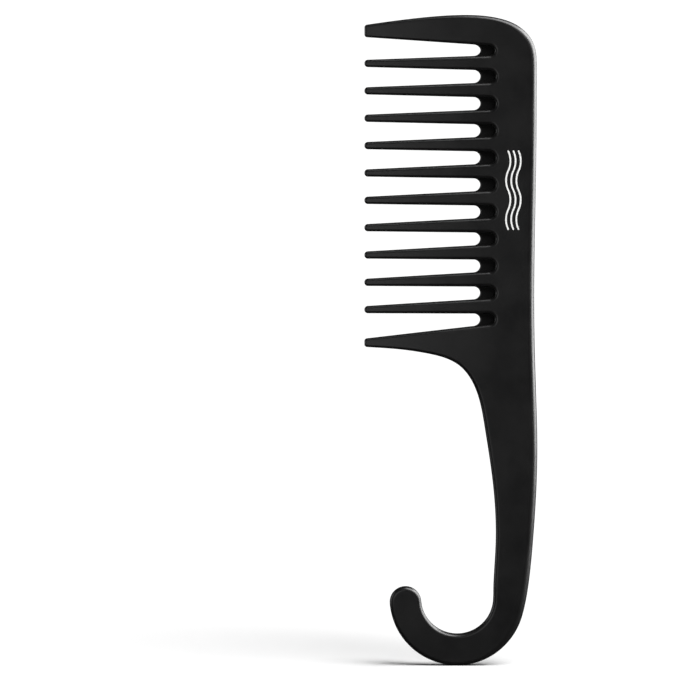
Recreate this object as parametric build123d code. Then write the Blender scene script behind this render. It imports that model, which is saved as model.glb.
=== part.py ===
from build123d import *
import math
import os

# A wide tooth comb with a hook at the end of its handle, injection moulded in one
# piece. Millimetres. The comb stands on the lowest point of its hook: +Z runs along
# the spine to the toothed head, the teeth point along -X, and the printed face
# looks along -Y. Outlines are drawn in the XZ plane.

# ---- Driving dimensions ----
comb_length = 241.2
comb_thickness = 5.0
edge_round = 1.1                # rounding of every outer edge

inner_teeth = 10                # between the two stronger end teeth
tooth_pitch = 10.0
tip_x = -31.9                   # line that all the tooth tips end on
root_x = 10.9                   # where the slots between the teeth end
first_tooth_z = 223.5           # centre line of the uppermost inner tooth, at root_x
tooth_width = 5.34              # at root_x
tooth_taper = 0.031             # slope of each edge of a tooth towards its centre line
first_tooth_slope = 0.0043      # slope of the uppermost inner tooth's centre line
slope_step = 0.0028             # each tooth droops this much more than the one above
tip_round = 1.3                 # inner tooth tips, seen from the front

top_slot_width = 3.95           # the slots beside the two end teeth, at root_x
bottom_slot_width = 4.4
top_tooth_slope = -0.0675       # the edges of the end teeth that face those slots
bottom_tooth_slope = 0.1142
end_tip_round = 1.1

crown_start_x = 16.5            # from here to the tips both faces curve inwards
tip_thickness = 2.5
crown_end_z = 50.0              # the handle and hook below this have flat faces only

pocket_centre_x = 14.2          # the slots run on into both faces as blind pockets
web_thickness = 1.6             # left in the middle between two pockets
web_end_round = 2.5             # the slot's own end, cut through the web
web_widening = 0.1              # that end cuts this much into the teeth beside it

hook_centre = (2.54, 25.1)
hook_inner_radius = 13.35
hook_end_angle = 184.7          # where the hook stops, in degrees from +X
hook_back_angle = -17.0         # where the hook's outer arc runs into the spine

print_centre = (23.1, 176.6)    # motif of wavy strands printed on the spine
print_strands = 3
strand_waves = 4                # arcs in one strand
strand_reach = 7.2              # length of one arc
strand_sag = 0.8                # height of one arc
strand_width = 0.6
strand_spacing = 1.9
ink_thickness = 0.06

# ---- Worked out from the driving dimensions ----
half_thickness = comb_thickness / 2
hook_outer_radius = hook_centre[1]
beyond_tips_x = tip_x - 8.0
margin = 2.0                    # how far a cutting tool runs past what it cuts


def on_hook(radius, angle):
    """The point at this radius and angle about the hook's centre."""
    turn = math.radians(angle)
    return (hook_centre[0] + radius * math.cos(turn), hook_centre[1] + radius * math.sin(turn))


def round_the_hook(angle):
    """The direction of travel, clockwise, at this angle round the hook."""
    turn = math.radians(angle)
    return (math.sin(turn), -math.cos(turn))


def hook_end_point():
    """The furthest point of the full round that ends the hook."""
    middle = on_hook((hook_inner_radius + hook_outer_radius) / 2, hook_end_angle)
    reach = (hook_outer_radius - hook_inner_radius) / 2
    direction = round_the_hook(hook_end_angle)
    return (middle[0] + reach * direction[0], middle[1] + reach * direction[1])


def blank_outline():
    """The whole comb before its slots are cut."""
    crest_start = (tip_x, 237.5)
    spine_top = (31.83, 221.0)
    crest = Spline(
        crest_start,
        (-12.6, 240.05),
        (5.2, comb_length),
        (18.5, 239.8),
        (26.0, 236.4),
        (30.2, 231.5),
        spine_top,
        tangents=((1, 0.15), (0, -1)),
    )
    spine = Spline(
        spine_top,
        (31.45, 176.0),
        (30.97, 131.0),
        (31.75, 100.0),
        (32.2, 83.0),
        (30.7, 46.6),
        on_hook(hook_outer_radius, hook_back_angle),
        tangents=((0, -1), round_the_hook(hook_back_angle)),
    )
    hook_outside = CenterArc(
        hook_centre,
        hook_outer_radius,
        hook_back_angle,
        hook_end_angle - 360 - hook_back_angle,
    )
    hook_end = ThreePointArc(
        on_hook(hook_outer_radius, hook_end_angle),
        hook_end_point(),
        on_hook(hook_inner_radius, hook_end_angle),
    )
    hook_inside = CenterArc(hook_centre, hook_inner_radius, hook_end_angle, 360 - hook_end_angle)
    underside_end = (tip_x, 118.4)
    underside = Spline(
        on_hook(hook_inner_radius, 0),
        (16.8, 46.0),
        (15.7, 68.0),
        (12.6, 89.0),
        (8.8, 104.0),
        (2.9, 111.8),
        (-9.0, 116.1),
        underside_end,
        tangents=((0, 1), (-1, 0.05)),
    )
    tip_line = Line(underside_end, crest_start)
    return make_face([crest, spine, hook_outside, hook_end, hook_inside, underside, tip_line])


def tooth_edges(tooth):
    """Upper and lower edge of an inner tooth, counted from 0, as (z at root_x, slope)."""
    centre_z = first_tooth_z - tooth * tooth_pitch
    slope = first_tooth_slope + tooth * slope_step
    upper = (centre_z + tooth_width / 2, slope + tooth_taper)
    lower = (centre_z - tooth_width / 2, slope - tooth_taper)
    return upper, lower


def slot_walls():
    """Upper and lower wall of every slot, from the top down, as (z at root_x, slope)."""
    inner_edges = [edge for tooth in range(inner_teeth) for edge in tooth_edges(tooth)]
    top_wall = (inner_edges[0][0] + top_slot_width, top_tooth_slope)
    bottom_wall = (inner_edges[-1][0] - bottom_slot_width, bottom_tooth_slope)
    walls = [top_wall, *inner_edges, bottom_wall]
    return list(zip(walls[0::2], walls[1::2]))


def wall_z(wall, x):
    """Height of a slot's wall at this x."""
    return wall[0] + wall[1] * (x - root_x)


def slot_shape(walls, end_centre_x, widening=0.0):
    """A slot open past the tooth tips, with a round end that runs smoothly into its walls."""
    upper = (walls[0][0] + widening, walls[0][1])
    lower = (walls[1][0] - widening, walls[1][1])
    upper_turn = math.atan(upper[1])
    lower_turn = math.atan(lower[1])
    upper_reach = wall_z(upper, end_centre_x) * math.cos(upper_turn)
    lower_reach = wall_z(lower, end_centre_x) * math.cos(lower_turn)
    centre_z = (upper_reach + lower_reach) / (math.cos(upper_turn) + math.cos(lower_turn))
    radius = upper_reach - centre_z * math.cos(upper_turn)
    upper_touch = (
        end_centre_x - radius * math.sin(upper_turn),
        centre_z + radius * math.cos(upper_turn),
    )
    lower_touch = (
        end_centre_x + radius * math.sin(lower_turn),
        centre_z - radius * math.cos(lower_turn),
    )
    round_end = ThreePointArc(lower_touch, (end_centre_x + radius, centre_z), upper_touch)
    sides = Polyline(
        upper_touch,
        (beyond_tips_x, wall_z(upper, beyond_tips_x)),
        (beyond_tips_x, wall_z(lower, beyond_tips_x)),
        lower_touch,
    )
    return make_face([*round_end.edges(), *sides.edges()])


def tip_corners(outline):
    """The outline's corners on the line of the tooth tips, from the bottom up."""
    on_tip_line = outline.vertices().filter_by_position(Axis.X, tip_x - 0.01, tip_x + 0.01)
    return on_tip_line.sort_by(Axis.Y)


def comb_outline():
    """The comb seen from the front, with each slot cut to the end of its pocket."""
    outline = blank_outline()
    for walls in slot_walls():
        outline -= slot_shape(walls, pocket_centre_x)
    corners = tip_corners(outline)
    outline = fillet([*corners[:2], *corners[-2:]], end_tip_round)
    return fillet(tip_corners(outline)[2:-2], tip_round)


def crown_envelope():
    """Everything between the two faces, which draw together towards the tooth tips."""
    left = beyond_tips_x
    right = comb_length / 2
    sag = half_thickness - tip_thickness / 2
    run = crown_start_x - tip_x
    crown_radius = (run ** 2 + sag ** 2) / (2 * sag)
    turn = math.asin((crown_start_x - left) / crown_radius)
    front = CenterArc(
        (crown_start_x, half_thickness - crown_radius),
        crown_radius,
        90,
        math.degrees(turn),
    )
    back = front.mirror(Plane.XZ)
    flats = [Line((crown_start_x, side), (right, side)) for side in (half_thickness, -half_thickness)]
    ends = [Line(front @ 1, back @ 1), Line((right, half_thickness), (right, -half_thickness))]
    profile = make_face([front, back, *flats, *ends])
    head = extrude(Pos(0, 0, crown_end_z) * profile, amount=comb_length)
    lower = Pos(0, 0, crown_end_z) * Box(
        2 * right,
        comb_thickness,
        2 * crown_end_z,
        align=(Align.CENTER, Align.CENTER, Align.MAX),
    )
    return head + lower


def face_rim(body, side):
    """The edges round one face of the comb, without the seams inside that face."""
    patches = [
        face for face in body.faces()
        if abs(face.normal_at().Y) > 0.9 and side * face.center().Y > 0
    ]
    edges = [edge for patch in patches for edge in patch.edges()]
    return [edge for edge in edges if sum(edge.is_same(other) for other in edges) == 1]


def slot_webs():
    """The thin webs that close the inner ends of the slots, halfway through the comb."""
    walls = slot_walls()
    left = root_x - web_end_round - margin
    right = pocket_centre_x + tooth_width
    top = walls[0][0][0] + margin
    bottom = walls[-1][1][0] - margin
    plate = Pos((left + right) / 2, (top + bottom) / 2) * Rectangle(right - left, top - bottom)
    for slot in walls:
        plate -= slot_shape(slot, root_x - web_end_round, web_widening)
    return extrude(Plane.XZ * plate, amount=web_thickness / 2, both=True)


def comb_moulding():
    """The whole comb apart from its print: one moulding."""
    body = extrude(Plane.XZ * comb_outline(), amount=comb_thickness, both=True) & crown_envelope()
    body = fillet([*face_rim(body, 1), *face_rim(body, -1)], edge_round)
    return body + slot_webs()


def printed_strand(x):
    """One wavy strand of ink, as arcs that bend left and right in turn."""
    bottom_z = print_centre[1] - strand_waves * strand_reach / 2
    bends = []
    for bend in range(strand_waves):
        start = (x, bottom_z + bend * strand_reach)
        end = (x, bottom_z + (bend + 1) * strand_reach)
        bends.append(SagittaArc(start, end, strand_sag * (-1) ** bend))
    return SlotArc(Wire([edge for arc in bends for edge in arc.edges()]), strand_width)


def printed_motif():
    """The pad print on the front of the spine: a row of wavy strands."""
    first_x = print_centre[0] - (print_strands - 1) * strand_spacing / 2
    strands = [printed_strand(first_x + strand * strand_spacing) for strand in range(print_strands)]
    front_face = Plane.XZ.offset(half_thickness)
    return extrude(front_face * (Sketch() + strands), amount=ink_thickness)


os.makedirs("parts", exist_ok=True)
export_step(comb_moulding(), "parts/comb_moulding.step")
export_step(printed_motif(), "parts/printed_motif.step")
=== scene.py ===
import math
from itertools import groupby

import bmesh
import bpy
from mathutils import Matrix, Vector
from mathutils.geometry import delaunay_2d_cdt
from mathutils.kdtree import KDTree


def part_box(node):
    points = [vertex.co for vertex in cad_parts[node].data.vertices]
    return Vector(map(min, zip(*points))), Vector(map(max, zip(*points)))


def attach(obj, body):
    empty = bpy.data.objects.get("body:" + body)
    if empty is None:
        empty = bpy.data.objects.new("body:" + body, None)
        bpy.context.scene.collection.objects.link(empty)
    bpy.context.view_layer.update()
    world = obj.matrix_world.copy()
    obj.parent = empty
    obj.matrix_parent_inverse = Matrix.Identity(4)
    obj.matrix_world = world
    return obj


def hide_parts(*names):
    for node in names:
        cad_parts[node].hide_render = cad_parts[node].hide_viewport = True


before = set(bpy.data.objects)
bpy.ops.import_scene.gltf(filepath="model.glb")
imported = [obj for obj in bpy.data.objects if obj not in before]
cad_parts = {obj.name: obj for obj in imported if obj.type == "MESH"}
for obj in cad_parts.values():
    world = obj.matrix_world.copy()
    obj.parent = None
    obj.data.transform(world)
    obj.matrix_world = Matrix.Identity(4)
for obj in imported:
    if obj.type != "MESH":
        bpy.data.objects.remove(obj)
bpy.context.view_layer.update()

comb_low, comb_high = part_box("comb_moulding")

# Metres throughout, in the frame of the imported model: +Z up, teeth along -X, print on -Y.
# Plan points are 2-D vectors (x, z), as seen from the front.
MM = 0.001

# ---- The moulding's form ----
TIP_X = comb_low.x
NEAR_TIPS = 2 * MM              # points this close to TIP_X belong to a tooth's end
HALF_THICKNESS = comb_high.y
TIP_HALF_THICKNESS = 1.25 * MM
DEEP_CUT = TIP_HALF_THICKNESS - 0.05 * MM   # a section this far out shows the pockets' outline
CROWN_START_X = 16.5 * MM       # from here to the tooth tips both faces curve inwards
CROWN_END_Z = 50 * MM           # the handle and hook below this have flat faces
ROOT_X = 10.9 * MM              # where the slots between the teeth end
WEB_START_X = 8.4 * MM          # where the round end of each slot starts
WEB_HALF = 0.8 * MM             # half the web between the two pockets behind a slot
WEB_EDGE_ROUND = 0.5 * MM
LEAST_WEB_ROUND = 0.05 * MM     # used for the normals where the web's edge is all but square
WEB_COLUMNS = 20
WEB_ROWS = 12
TIP_ROUND = Vector((0.95, 1.1)) * MM        # how far an edge's rounding goes inwards, and in depth
ROOT_ROUND = Vector((1.4, 1.3)) * MM
BODY_ROUND = Vector((1.5, 1.6)) * MM
SPINE_ROUND = Vector((2.6, 2.3)) * MM
SPINE_FROM_X = 25 * MM          # the rounding has grown to the spine's at this x
ROUND_RUN_IN = 50 * MM          # along an end tooth the rounding grows to the body's
ROUND_STEPS = 9                 # strips of faces round each edge
DRAFT = 0.02 * MM               # the side walls lean in by this on each side of the parting line

# ---- How finely it is meshed ----
SAME_PLACE = 0.001 * MM
SHORTEST_STEP = 0.05 * MM
LONGEST_STEP = 1.0 * MM
LARGEST_TURN = math.radians(7)
IN_LINE = 0.002                 # a turn this small is only the CAD mesh's own rounding
STRAIGHT_RATIO = 5              # a piece this much longer than the next is a straight run
GRID_STEP = 4.0 * MM            # spacing of the points inside each face
GRID_MARGIN = 1.3 * MM          # and how far they keep from its rim
INSIDE_ONLY = 1                 # delaunay_2d_cdt's output type without what is outside the rim
CDT_NEAR = 1e-6                 # its tolerance, in millimetres


# ---- The outline, read from the CAD moulding ----
def section(mesh, y):
    """The outline of a mesh where it is cut at this y, as anticlockwise plan points."""
    cut_mesh = bmesh.new()
    cut_mesh.from_mesh(mesh)
    bmesh.ops.remove_doubles(cut_mesh, verts=cut_mesh.verts, dist=SAME_PLACE)
    parts = cut_mesh.verts[:] + cut_mesh.edges[:] + cut_mesh.faces[:]
    cut = bmesh.ops.bisect_plane(cut_mesh, geom=parts, plane_co=(0, y, 0), plane_no=(0, 1, 0))
    neighbours = {}
    for edge in cut["geom_cut"]:
        if isinstance(edge, bmesh.types.BMEdge):
            first, second = edge.verts
            neighbours.setdefault(first, []).append(second)
            neighbours.setdefault(second, []).append(first)
    start = min(neighbours, key=lambda vertex: vertex.co.z)
    loop = [start]
    previous, here = start, neighbours[start][0]
    while here is not start:
        loop.append(here)
        previous, here = here, next(v for v in neighbours[here] if v is not previous)
    points = [Vector((vertex.co.x, vertex.co.z)) for vertex in loop]
    cut_mesh.free()
    area = sum(a.cross(b) for a, b in zip(points, points[1:] + points[:1]))
    return points if area > 0 else points[::-1]


def corners_only(points):
    """The loop without the points that lie in line with their neighbours, or crowd them."""
    least = SHORTEST_STEP / 10
    spaced = [point for i, point in enumerate(points) if (point - points[i - 1]).length > least]
    kept = []
    for i, here in enumerate(spaced):
        before = here - spaced[i - 1]
        after = spaced[(i + 1) % len(spaced)] - here
        in_line = abs(before.cross(after)) < IN_LINE * before.length * after.length
        if not in_line and (not kept or (here - kept[-1]).length > SHORTEST_STEP):
            kept.append(here)
    return kept


def at_tips(points):
    """The numbers of the points at the teeth's ends."""
    return [i for i, point in enumerate(points) if point.x < TIP_X + NEAR_TIPS]


def two_runs(points):
    """The loop as its outer run, from the lowest tooth round the hook to the top, and its teeth."""
    bottom = min(at_tips(points), key=lambda i: points[i].y)
    points = points[bottom:] + points[:bottom]
    top = max(at_tips(points), key=lambda i: points[i].y)
    return points[:top], points[top:]


def with_crossings(points, x):
    """The run with a point added wherever it crosses this x."""
    result = []
    for here, there in zip(points, points[1:] + points[-1:]):
        result.append(here)
        if (here.x - x) * (there.x - x) < 0:
            result.append(here.lerp(there, (x - here.x) / (there.x - here.x)))
    return result


def past_web(point):
    """Whether a point is further in than where the webs start."""
    return point.x > WEB_START_X + SAME_PLACE


def stretches(run):
    """The run in stretches, as (past where the webs start, points)."""
    groups = groupby(with_crossings(run, WEB_START_X), key=past_web)
    return [(inside, list(group)) for inside, group in groups]


def merged_runs(outline, deep_outline):
    """The outer run, and the comb run whose slots go to the ends of their pockets."""
    outer, teeth = two_runs(corners_only(outline))
    pockets = two_runs(corners_only(deep_outline))[1]
    comb = []
    for (inside, tooth), (_, pocket) in zip(stretches(teeth), stretches(pockets)):
        comb.extend((point, inside) for point in (pocket if inside else tooth))
    return [(point, False) for point in outer], comb


# ---- Even, smooth points along it ----
def outwards(ahead):
    """The outward direction where the outline runs ahead like this."""
    return Vector((ahead.y, -ahead.x)).normalized()


class Station:
    """A place on the outline, with its outward direction and the rounding of its edge."""

    def __init__(self, place, ahead, in_pocket, on_comb_run):
        self.place = place
        self.out = outwards(ahead)
        self.in_pocket = in_pocket
        self.on_comb_run = on_comb_run
        self.round = None


def between(start, start_ahead, end, end_ahead, t):
    """Place and direction on the cubic curve between two points."""
    span = (end - start).length
    place = (
        start * (2 * t ** 3 - 3 * t ** 2 + 1)
        + end * (3 * t ** 2 - 2 * t ** 3)
        + start_ahead * span * (t ** 3 - 2 * t ** 2 + t)
        + end_ahead * span * (t ** 3 - t ** 2)
    )
    ahead = (
        (start - end) * (6 * t ** 2 - 6 * t) / span
        + start_ahead * (3 * t ** 2 - 4 * t + 1)
        + end_ahead * (3 * t ** 2 - 2 * t)
    )
    return place, ahead


def direction_at(before, here, after):
    """The outline's direction at a point: a long straight run keeps its own up to its end."""
    arriving = here - before
    leaving = after - here
    if arriving.length > STRAIGHT_RATIO * leaving.length:
        return arriving.normalized()
    if leaving.length > STRAIGHT_RATIO * arriving.length:
        return leaving.normalized()
    return (arriving / arriving.length_squared + leaving / leaving.length_squared).normalized()


def stations_along(outer, comb):
    """The outline at steps no longer than LONGEST_STEP, and with no turn above LARGEST_TURN."""
    points = outer + comb
    count = len(points)
    ahead = [
        direction_at(points[i - 1][0], points[i][0], points[(i + 1) % count][0])
        for i in range(count)
    ]
    stations = []
    for i, (start, in_pocket) in enumerate(points):
        end, end_in_pocket = points[(i + 1) % count]
        turn = ahead[i].angle(ahead[(i + 1) % count])
        for_length = math.ceil((end - start).length / LONGEST_STEP)
        steps = max(for_length, math.ceil(turn / LARGEST_TURN), 1)
        for step in range(steps):
            place, direction = between(start, ahead[i], end, ahead[(i + 1) % count], step / steps)
            stations.append(Station(place, direction, in_pocket or end_in_pocket, i >= len(outer)))
    return stations


def clamped(t):
    return min(max(t, 0), 1)


def smoothstep(t):
    t = clamped(t)
    return t * t * (3 - 2 * t)


def body_round(station):
    """The rounding of the handle and hook, which grows to the spine's where the edge faces +X."""
    on_spine = smoothstep(station.out.x) * smoothstep(station.place.x / SPINE_FROM_X)
    return BODY_ROUND.lerp(SPINE_ROUND, on_spine)


def set_roundings(stations):
    """Small at the tooth tips, larger at the roots, and largest along the spine."""
    outer = [station for station in stations if not station.on_comb_run]
    distance = 0
    distances = [0]
    for here, there in zip(outer, outer[1:]):
        distance += (there.place - here.place).length
        distances.append(distance)
    for station, gone in zip(outer, distances):
        share = smoothstep(min(gone, distance - gone) / ROUND_RUN_IN)
        station.round = TIP_ROUND.lerp(body_round(station), share)
    for station in stations:
        if station.on_comb_run:
            share = (station.place.x - TIP_X) / (ROOT_X - TIP_X)
            station.round = TIP_ROUND.lerp(ROOT_ROUND, clamped(share))


# ---- The two faces ----
CROWN_SAG = HALF_THICKNESS - TIP_HALF_THICKNESS
CROWN_RADIUS = ((CROWN_START_X - TIP_X) ** 2 + CROWN_SAG ** 2) / (2 * CROWN_SAG)


def half_thickness(plan):
    """Half the moulding's thickness at a plan point, and how fast it grows with x."""
    run = CROWN_START_X - plan.x
    if run <= 0 or plan.y < CROWN_END_Z:
        return HALF_THICKNESS, 0
    depth = math.sqrt(CROWN_RADIUS ** 2 - run ** 2)
    return HALF_THICKNESS - CROWN_RADIUS + depth, run / depth


# ---- The moulding's mesh ----
class Moulding:
    """Points and faces, with a normal for each corner of each face."""

    def __init__(self):
        self.points = []
        self.faces = []
        self.normals = []
        self.pocket_floors = []     # numbers of the faces with the second material, whose darker colour is painted shade

    def add_point(self, plan, y):
        self.points.append((plan.x, y, plan.y))
        return len(self.points) - 1

    def add_face(self, corners, side=-1):
        """Corners are (point, normal), anticlockwise from the front; side 1 turns them over."""
        if side > 0:
            corners = corners[::-1]
        self.faces.append([point for point, normal in corners])
        self.normals.extend(normal.normalized() for point, normal in corners)

    def make_object(self, name):
        mesh = bpy.data.meshes.new(name)
        mesh.from_pydata(self.points, [], self.faces)
        mesh.polygons.foreach_set("use_smooth", [True] * len(self.faces))
        for face in self.pocket_floors:
            mesh.polygons[face].material_index = 1
        mesh.normals_split_custom_set(self.normals)
        piece = bpy.data.objects.new(name, mesh)
        bpy.context.scene.collection.objects.link(piece)
        return piece


def face_normal(plan, side):
    """The normal of the front (side -1) or back (side 1) face at a plan point."""
    growth = half_thickness(plan)[1]
    return Vector((-growth, side, 0))


def rounded_edge(moulding, stations, side):
    """The strips from a side wall over to a face. Gives their outermost and innermost rows."""
    rows = []
    for step in range(ROUND_STEPS + 1):
        turn = math.radians(90) * step / ROUND_STEPS
        row = []
        for station in stations:
            inset, depth = station.round
            plan = station.place - station.out * (DRAFT + inset * (1 - math.cos(turn)))
            face_y, growth = half_thickness(plan)
            y = side * (face_y - depth * (1 - math.sin(turn)))
            out = station.out * math.cos(turn) / inset
            facing = math.sin(turn) / depth
            normal = Vector((out.x - growth * facing, side * facing, out.y))
            row.append((moulding.add_point(plan, y), normal))
        rows.append(row)
    count = len(stations)
    for outer, inner in zip(rows, rows[1:]):
        for i in range(count):
            j = (i + 1) % count
            moulding.add_face([outer[i], outer[j], inner[j], inner[i]], side)
    return rows[0], rows[-1]


def flat_face(moulding, rim, side):
    """The face inside its rounded edge, with a grid of points for its curve."""
    plans = [Vector((moulding.points[point][0], moulding.points[point][2])) for point, _ in rim]
    tree = KDTree(len(plans))
    for i, plan in enumerate(plans):
        tree.insert(plan.to_3d(), i)
    tree.balance()
    columns = range(math.ceil(comb_low.x / GRID_STEP), math.floor(comb_high.x / GRID_STEP) + 1)
    levels = range(math.ceil(comb_low.z / GRID_STEP), math.floor(comb_high.z / GRID_STEP) + 1)
    grid = [Vector((column, level)) * GRID_STEP for column in columns for level in levels]
    grid = [plan for plan in grid if tree.find(plan.to_3d())[2] > GRID_MARGIN]
    count = len(plans)
    inputs = [plan / MM for plan in plans + grid]
    rim_face = list(range(count))
    result = delaunay_2d_cdt(inputs, [], [rim_face], INSIDE_ONLY, CDT_NEAR)
    places, _, faces, origins, _, _ = result
    numbers = {}
    for i, came_from in enumerate(origins):
        known = [origin for origin in came_from if origin < count]
        if known:
            numbers[i] = rim[known[0]][0]
    for face in faces:
        corners = []
        for i in face:
            plan = places[i] * MM
            if i not in numbers:
                numbers[i] = moulding.add_point(plan, side * half_thickness(plan)[0])
            corners.append((numbers[i], face_normal(plan, side)))
        moulding.add_face(corners, side)


def half_line(line, side):
    """A line of points from its front (side -1) or back (side 1) end up to its middle."""
    middle = len(line) // 2
    return line[:middle + 1] if side < 0 else line[middle:][::-1]


def wall_lines(moulding, stations):
    """The points down each station's wall, from front to back, that its faces end on.

    A wall has one, on the parting line. Along a web it has two, at the web's faces, and
    where a web starts it has the whole row that the web's edge needs.
    """
    rows = range(WEB_ROWS + 1)
    full_row = [-WEB_HALF * math.cos(math.pi * row / WEB_ROWS) for row in rows]
    lines = []
    for i, station in enumerate(stations):
        if station.in_pocket != stations[i - 1].in_pocket:
            heights = full_row
        elif station.in_pocket:
            heights = (-WEB_HALF, WEB_HALF)
        else:
            heights = (0,)
        lines.append([moulding.add_point(station.place, y) for y in heights])
    return lines


def side_walls(moulding, stations, front, back, lines):
    """The walls between the two rounded edges."""
    count = len(stations)
    for i in range(count):
        j = (i + 1) % count
        out_i, out_j = [Vector((stations[k].out.x, 0, stations[k].out.y)) for k in (i, j)]
        edge_i, edge_j = front[i][0], front[j][0]
        far_i, far_j = back[i][0], back[j][0]
        if stations[i].in_pocket:
            near = [(lines[i][0], out_i), (lines[j][0], out_j), (edge_j, out_j), (edge_i, out_i)]
            far = [(far_i, out_i), (far_j, out_j), (lines[j][-1], out_j), (lines[i][-1], out_i)]
            moulding.add_face(near)
            moulding.add_face(far)
            continue
        for side, rim_i, rim_j in ((-1, edge_i, edge_j), (1, far_i, far_j)):
            lean = Vector((0, side * DRAFT / HALF_THICKNESS, 0))
            corners = [(point, out_i + lean) for point in half_line(lines[i], side)]
            corners += [(point, out_j + lean) for point in half_line(lines[j], side)[::-1]]
            corners += [(rim_j, out_j + lean), (rim_i, out_i + lean)]
            moulding.add_face(corners, side)


def wall_run(station):
    """From this station to the depth where its slot ends, along the slot's wall."""
    return Vector((1, -station.out.x / station.out.y)) * (ROOT_X - WEB_START_X)


def web_edge(start, end, turn):
    """Place and outward direction at this turn round a web's edge, and the room behind it."""
    upper_run, lower_run = wall_run(start), wall_run(end)
    upper = start.place + upper_run * math.sin(turn)
    lower = end.place + lower_run * math.sin(turn)
    middle = (upper + lower) / 2
    across = (upper - lower) / 2
    place = middle + across * math.cos(turn)
    run = (upper_run + lower_run) / 2 + (upper_run - lower_run) / 2 * math.cos(turn)
    ahead = run * math.cos(turn) - across * math.sin(turn)
    room = across.length * (1 - abs(math.cos(turn)))
    return place, outwards(ahead), room


def web_grid(moulding, start, end, start_line, end_line):
    """The rounded edge of one web, as lines of (point, normal) from its upper wall to its lower."""
    grid = []
    for column in range(WEB_COLUMNS + 1):
        place, out, room = web_edge(start, end, math.pi * column / WEB_COLUMNS)
        round_off = min(WEB_EDGE_ROUND, room / 2)
        line = []
        for row in range(WEB_ROWS + 1):
            tilt = math.pi * (row / WEB_ROWS - 0.5)
            plan = place - out * round_off * (1 - math.cos(tilt))
            facing = math.sin(tilt) / WEB_HALF * max(round_off, LEAST_WEB_ROUND)
            normal = Vector((out.x * math.cos(tilt), facing, out.y * math.cos(tilt)))
            if column == 0:
                point = start_line[row]
            elif column == WEB_COLUMNS:
                point = end_line[row]
            else:
                point = moulding.add_point(plan, WEB_HALF * math.sin(tilt))
            line.append((point, normal))
        grid.append(line)
    return grid


def slot_webs(moulding, stations, lines):
    """The web that closes each slot: its round edge, and its floor in the pocket on either face."""
    inside = [station.in_pocket for station in stations]
    starts = [i for i in range(len(stations)) if inside[i] and not inside[i - 1]]
    ends = [i for i in range(len(stations)) if inside[i - 1] and not inside[i]]
    for start, end in zip(starts, ends):
        grid = web_grid(moulding, stations[start], stations[end], lines[start], lines[end])
        for line, following in zip(grid, grid[1:]):
            for row in range(WEB_ROWS):
                corners = [line[row + 1], following[row + 1], following[row], line[row]]
                moulding.add_face(corners)
        for side, at_side in ((-1, 0), (1, -1)):
            up = Vector((0, side, 0))
            wall = [(lines[i][at_side], up) for i in range(start + 1, end)]
            edge = [(line[at_side][0], up) for line in grid]
            moulding.pocket_floors.append(len(moulding.faces))
            moulding.add_face(wall[::-1] + edge, side)


def comb_moulding():
    """The whole comb apart from its print, as one closed mesh."""
    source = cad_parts["comb_moulding"].data
    outer, comb = merged_runs(section(source, 0), section(source, -DEEP_CUT))
    stations = stations_along(outer, comb)
    set_roundings(stations)
    moulding = Moulding()
    front, front_rim = rounded_edge(moulding, stations, -1)
    back, back_rim = rounded_edge(moulding, stations, 1)
    flat_face(moulding, front_rim, -1)
    flat_face(moulding, back_rim, 1)
    lines = wall_lines(moulding, stations)
    side_walls(moulding, stations, front, back, lines)
    slot_webs(moulding, stations, lines)
    return moulding.make_object("moulded_comb")


# ---- Small helpers for node materials ----
MIX_FIRST = 6                   # the colour sockets of a Mix node
MIX_SECOND = 7
MIX_RESULT = 2


def new_material(name):
    """An empty node material, with its tree and its Principled shader."""
    material = bpy.data.materials.new(name)
    material.use_nodes = True
    tree = material.node_tree
    shader = next(node for node in tree.nodes if node.type == "BSDF_PRINCIPLED")
    return material, tree, shader


def set_inputs(node, values):
    """Sets input sockets by name."""
    for name, value in values.items():
        node.inputs[name].default_value = value


def noise(tree, size, stretch=(1, 1, 1), detail=2.0):
    """Noise with features of about this size in metres, drawn out along x, y and z by stretch."""
    coordinates = tree.nodes.new("ShaderNodeTexCoord")
    mapping = tree.nodes.new("ShaderNodeMapping")
    mapping.inputs["Scale"].default_value = [1 / (size * factor) for factor in stretch]
    texture = tree.nodes.new("ShaderNodeTexNoise")
    set_inputs(texture, {"Scale": 1.0, "Detail": detail, "Roughness": 0.55})
    tree.links.new(coordinates.outputs["Object"], mapping.inputs["Vector"])
    tree.links.new(mapping.outputs["Vector"], texture.inputs["Vector"])
    return texture.outputs["Fac"]


def ranged(tree, value, low, high, from_low=0.35, from_high=0.65):
    """The value spread between low and high."""
    node = tree.nodes.new("ShaderNodeMapRange")
    set_inputs(node, {"From Min": from_low, "From Max": from_high, "To Min": low, "To Max": high})
    tree.links.new(value, node.inputs["Value"])
    return node.outputs["Result"]


def sum_of(tree, first, second):
    node = tree.nodes.new("ShaderNodeMath")
    node.operation = "ADD"
    tree.links.new(first, node.inputs[0])
    tree.links.new(second, node.inputs[1])
    return node.outputs[0]


def blend_colours(tree, share, first, second):
    node = tree.nodes.new("ShaderNodeMix")
    node.data_type = "RGBA"
    tree.links.new(share, node.inputs["Factor"])
    node.inputs[MIX_FIRST].default_value = (*first, 1.0)
    node.inputs[MIX_SECOND].default_value = (*second, 1.0)
    return node.outputs[MIX_RESULT]


def add_bump(tree, shader, height):
    """Bump from a height in millimetres."""
    bump = tree.nodes.new("ShaderNodeBump")
    set_inputs(bump, {"Strength": 1.0, "Distance": MM})
    tree.links.new(height, bump.inputs["Height"])
    tree.links.new(bump.outputs["Normal"], shader.inputs["Normal"])


# ---- Materials ----
ALONG_THE_COMB = (1, 1, 40)     # stretches a noise into marks that run up the comb
FLOOR_COLOUR = (0.9, 0.9, 0.9, 1.0)


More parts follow.
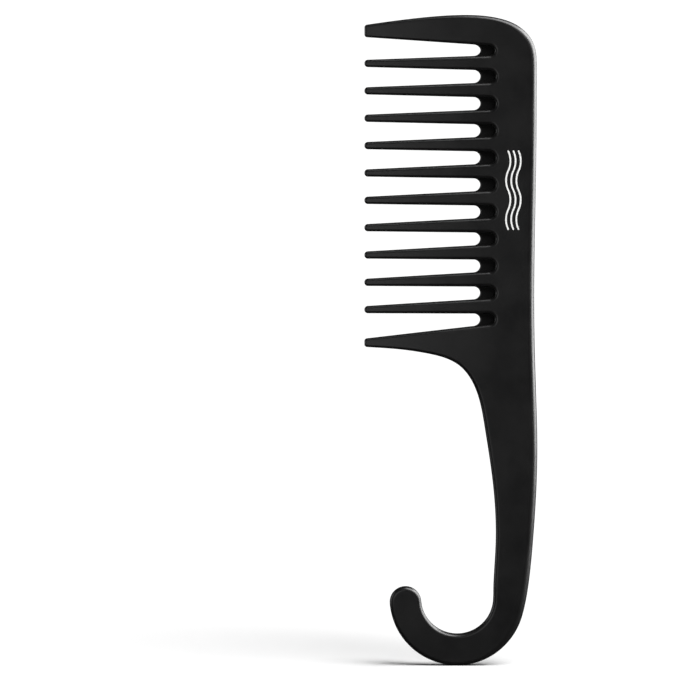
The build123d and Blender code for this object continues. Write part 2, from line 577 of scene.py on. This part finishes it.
def moulded_black(name, dark, light, smooth, rough, specular):
    """Moulded black plastic: a fine grain, slow waves from cooling, smudges and faint scuffs.

    Its colour varies from dark to light, and its roughness from smooth to rough.
    """
    material, tree, shader = new_material(name)
    set_inputs(shader, {"Specular IOR Level": specular})
    grain = noise(tree, 0.22 * MM, detail=3.0)
    waves = noise(tree, 9 * MM)
    marks = noise(tree, 0.5 * MM, stretch=ALONG_THE_COMB, detail=1.0)
    smudges = noise(tree, 14 * MM, detail=4.0)
    colour = blend_colours(tree, ranged(tree, smudges, 0, 1), dark, light)
    tree.links.new(colour, shader.inputs["Base Color"])
    scuffs = ranged(tree, marks, 0.0, 0.05, from_low=0.6, from_high=0.8)
    roughness = sum_of(tree, ranged(tree, smudges, smooth, rough), scuffs)
    tree.links.new(roughness, shader.inputs["Roughness"])
    height = sum_of(tree, ranged(tree, grain, 0, 0.0025), ranged(tree, waves, 0, 0.012))
    add_bump(tree, shader, height)
    return material


def white_ink():
    """Pad-printed ink: matt white, a little thin and uneven where it covers less well."""
    material, tree, shader = new_material("white_ink")
    cover = noise(tree, 0.35 * MM, detail=4.0)
    colour = blend_colours(tree, ranged(tree, cover, 0, 1), (0.60, 0.60, 0.59), (0.84, 0.84, 0.83))
    tree.links.new(colour, shader.inputs["Base Color"])
    tree.links.new(ranged(tree, cover, 0.66, 0.5), shader.inputs["Roughness"])
    add_bump(tree, shader, ranged(tree, cover, 0, 0.006))
    return material


def floor_material():
    """Plain, pale and matt."""
    material, _, shader = new_material("studio_floor")
    set_inputs(shader, {"Base Color": FLOOR_COLOUR, "Roughness": 1.0, "Specular IOR Level": 0.0})
    return material


# ---- Stage, light and camera ----
FLOOR_HALF = 60.0
BACKDROP = (1.1, 1.1, 1.1)      # what the camera sees past the floor
DIM_STUDIO = (0.02, 0.02, 0.02)     # what the comb and the floor get of it


def make_floor():
    """A wide plain floor that the plastic doesn't mirror."""
    quarters = ((-1, -1), (1, -1), (1, 1), (-1, 1))
    mesh = bpy.data.meshes.new("floor")
    mesh.from_pydata([(x * FLOOR_HALF, y * FLOOR_HALF, 0) for x, y in quarters], [], [(0, 1, 2, 3)])
    floor = bpy.data.objects.new("floor", mesh)
    bpy.context.scene.collection.objects.link(floor)
    mesh.materials.append(floor_material())
    floor.visible_glossy = False


def make_world():
    """White behind the floor, and only a dim studio round the object."""
    world = bpy.data.worlds.new("studio")
    bpy.context.scene.world = world
    world.use_nodes = True
    tree = world.node_tree
    background = next(node for node in tree.nodes if node.type == "BACKGROUND")
    path = tree.nodes.new("ShaderNodeLightPath")
    colour = blend_colours(tree, path.outputs["Is Camera Ray"], DIM_STUDIO, BACKDROP)
    tree.links.new(colour, background.inputs["Color"])


def aim(thing, target):
    """Turns a light or camera to look at the target."""
    direction = Vector(target) - thing.location
    thing.rotation_euler = direction.to_track_quat("-Z", "Y").to_euler()


def area_light(name, place, target, size, power, lit):
    """A soft light that reaches only the objects in one collection."""
    data = bpy.data.lights.new(name, "AREA")
    data.shape = "RECTANGLE"
    data.size, data.size_y = size
    data.energy = power
    light = bpy.data.objects.new(name, data)
    light.location = place
    light.visible_camera = False
    light.light_linking.receiver_collection = lit
    bpy.context.scene.collection.objects.link(light)
    aim(light, target)


def sun_light(name, comes_from, strength, angle):
    """A sun with its apparent size in degrees: the larger, the softer its shadows."""
    data = bpy.data.lights.new(name, "SUN")
    data.energy = strength
    data.angle = math.radians(angle)
    light = bpy.data.objects.new(name, data)
    light.location = comes_from
    bpy.context.scene.collection.objects.link(light)
    aim(light, (0, 0, 0))


CAMERA_TARGET = Vector((-0.0411, 0.0, 0.12117))     # puts the comb at the right, as in the photo
CAMERA_DISTANCE = 2.6
CAMERA_ELEVATION = math.radians(4.0)
VIEW_WIDTH = 0.2513             # what the camera sees, side to side, at its target
SENSOR_WIDTH = 36.0


def make_camera():
    data = bpy.data.cameras.new("camera")
    data.sensor_width = SENSOR_WIDTH
    data.lens = SENSOR_WIDTH * CAMERA_DISTANCE / VIEW_WIDTH
    data.clip_end = 5 * FLOOR_HALF
    camera = bpy.data.objects.new("camera", data)
    bpy.context.scene.collection.objects.link(camera)
    back = Vector((0, -math.cos(CAMERA_ELEVATION), math.sin(CAMERA_ELEVATION)))
    camera.location = CAMERA_TARGET + back * CAMERA_DISTANCE
    aim(camera, CAMERA_TARGET)
    bpy.context.scene.camera = camera


# ---- The scene ----
comb = comb_moulding()
satin_finish = moulded_black(
    "satin_black_plastic",
    dark=(0.0036, 0.0036, 0.0038),
    light=(0.0054, 0.0053, 0.0054),
    smooth=0.28,
    rough=0.34,
    specular=0.5,
)
# The pocket floors: rougher and less glossy than the satin plastic, and with darker colours that
# are painted shade for the recess
pocket_rough_painted_shade = moulded_black(
    "pocket_rough_black_painted_shade",
    dark=(0.0014, 0.0014, 0.0015),
    light=(0.0024, 0.0024, 0.0024),
    smooth=0.78,
    rough=0.88,
    specular=0.2,
)
for finish in (satin_finish, pocket_rough_painted_shade):
    comb.data.materials.append(finish)
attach(comb, "root")
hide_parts("comb_moulding")

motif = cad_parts["printed_motif"]
motif.data.materials.clear()
motif.data.materials.append(white_ink())

make_floor()
make_world()
make_camera()

only_the_comb = bpy.data.collections.new("only_the_comb")
only_the_comb.objects.link(comb)
only_the_comb.objects.link(motif)
area_light(     # the long highlight down the spine
    "softbox_right",
    place=(0.75, 0.03, 0.48),
    target=(0.02, 0.0, 0.29),
    size=(0.72, 1.0),
    power=28.0,
    lit=only_the_comb,
)
area_light(     # for the views from behind
    "rim_right",
    place=(0.5, 0.6, 0.40),
    target=(0.02, 0.0, 0.2),
    size=(0.4, 0.6),
    power=3.0,
    lit=only_the_comb,
)
area_light(     # the level of the front face
    "fill_left",
    place=(-0.20, -0.55, 0.12),
    target=(0, 0, 0.12),
    size=(0.30, 0.30),
    power=0.36,
    lit=only_the_comb,
)
area_light(     # for the views from the teeth's side
    "side_left",
    place=(-0.75, 0.05, 0.2),
    target=(0, 0, 0.12),
    size=(0.4, 0.6),
    power=1.3,
    lit=only_the_comb,
)
sun_light("overhead", comes_from=(0.7, -0.42, 1.35), strength=4.4, angle=50.0)
bpy.context.scene.view_settings.view_transform = "Standard"
